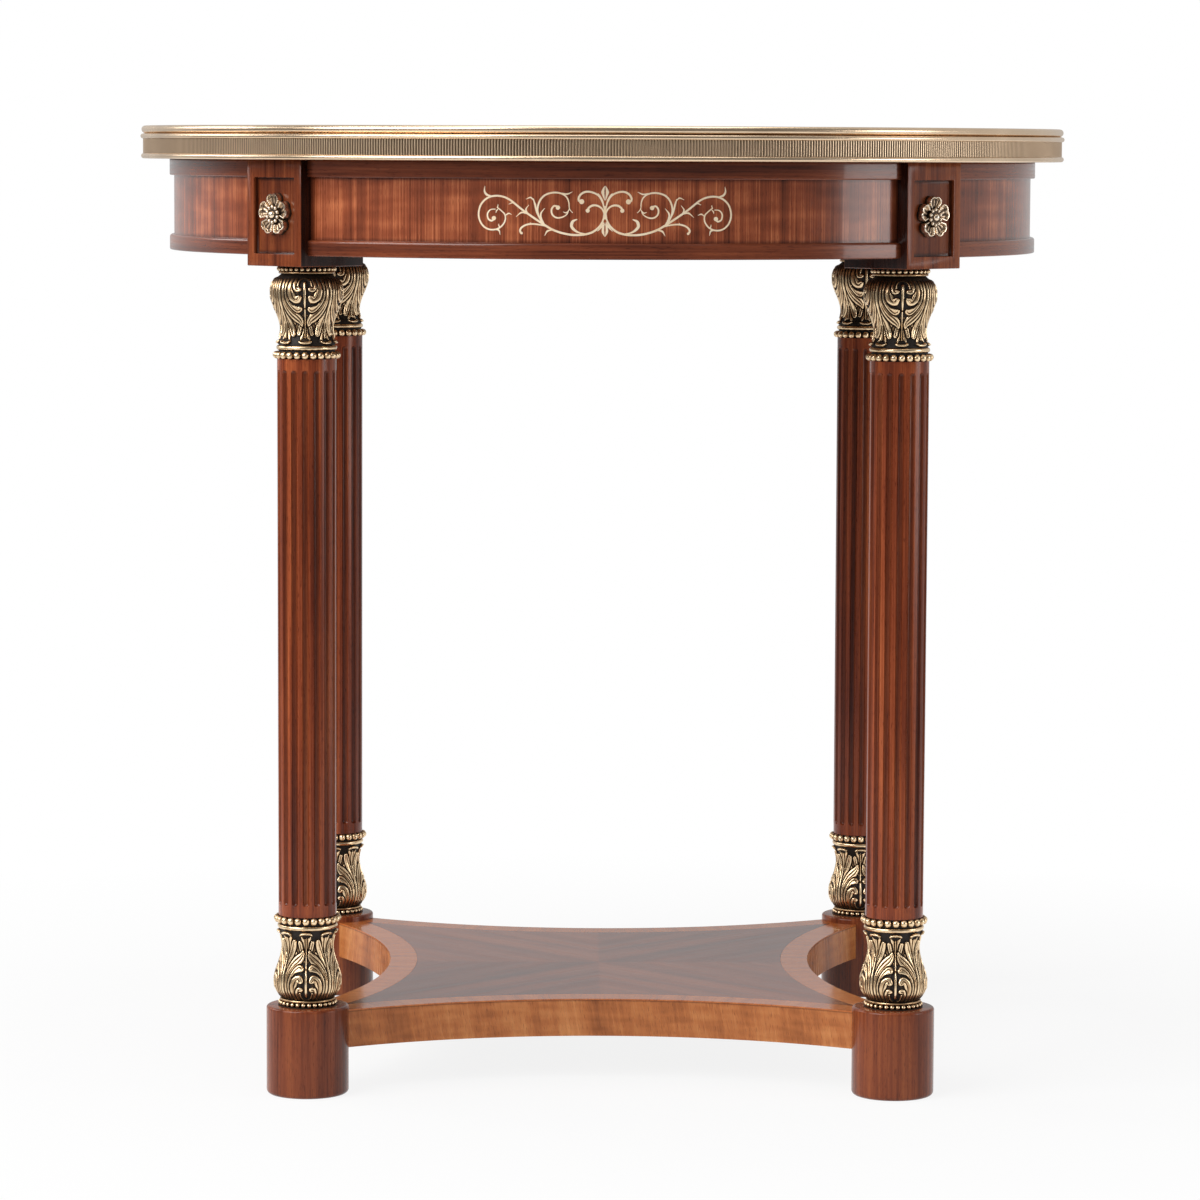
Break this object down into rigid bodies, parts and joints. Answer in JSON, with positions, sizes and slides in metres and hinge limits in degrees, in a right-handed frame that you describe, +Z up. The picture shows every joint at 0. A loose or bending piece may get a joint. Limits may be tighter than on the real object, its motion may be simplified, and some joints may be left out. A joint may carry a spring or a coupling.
{
  "type": "side table",
  "caption": "Round side table: brass-edged veneered top, inlaid frieze, fluted columns with cast acanthus capitals and bases, and a concave-sided platform shelf on round feet.",
  "frame": {"origin": "on the floor under the middle of the round top", "axes": "+Z up along the table's axis, the inlaid front faces -Y, +X to the right of someone facing the front"},
  "size_m": [0.7112, 0.7112, 0.7135],
  "materials": {
    "mahogany": "red-brown mahogany, polished, straight grain",
    "panel_veneer": "mahogany veneer, vertical ribbon grain, polished",
    "field_veneer": "quartered dark mahogany veneer, high polish",
    "crossband_veneer": "light orange-tan crossband veneer, polished",
    "core_board": "plain sealed board",
    "dowel_wood": "plain beech",
    "cast_brass": "antique cast brass, dark in the hollows",
    "rim_brass": "polished antique brass moulding",
    "inlay_brass": "flush polished brass inlay",
    "screw_steel": "plain steel"
  },
  "bodies": {
    "root": {"base_back_left": "cast_brass", "base_back_right": "cast_brass", "base_front_left": "cast_brass", "base_front_right": "cast_brass", "block_screws": "screw_steel", "capital_back_left": "cast_brass", "capital_back_right": "cast_brass", "capital_front_left": "cast_brass", "capital_front_right": "cast_brass", "column_back_left": "mahogany", "column_back_right": "mahogany", "column_front_left": "mahogany", "column_front_right": "mahogany", "corner_block_back_left": "mahogany", "corner_block_back_right": "mahogany", "corner_block_front_left": "mahogany", "corner_block_front_right": "mahogany", "foot_back_left": "mahogany", "foot_back_right": "mahogany", "foot_front_left": "mahogany", "foot_front_right": "mahogany", "foot_screws": "screw_steel", "front_inlay": "inlay_brass", "lower_band_back": "mahogany", "lower_band_front": "mahogany", "lower_band_left": "mahogany", "lower_band_right": "mahogany", "panel_veneer_back": "panel_veneer", "panel_veneer_front": "panel_veneer", "panel_veneer_left": "panel_veneer", "panel_veneer_right": "panel_veneer", "platform_core": "core_board", "platform_crossband": "crossband_veneer", "platform_dowels": "dowel_wood", "platform_edge_veneer": "crossband_veneer", "platform_field_veneer": "field_veneer", "rail_back": "mahogany", "rail_dowels": "dowel_wood", "rail_front": "mahogany", "rail_left": "mahogany", "rail_right": "mahogany", "rim_band": "rim_brass", "rosette_back_left": "cast_brass", "rosette_back_right": "cast_brass", "rosette_front_left": "cast_brass", "rosette_front_right": "cast_brass", "top_cleats": "core_board", "top_core": "core_board", "top_crossband": "crossband_veneer", "top_field_veneer": "field_veneer", "top_screws": "screw_steel", "upper_band_back": "mahogany", "upper_band_front": "mahogany", "upper_band_left": "mahogany", "upper_band_right": "mahogany"}
  },
  "joints": []
}
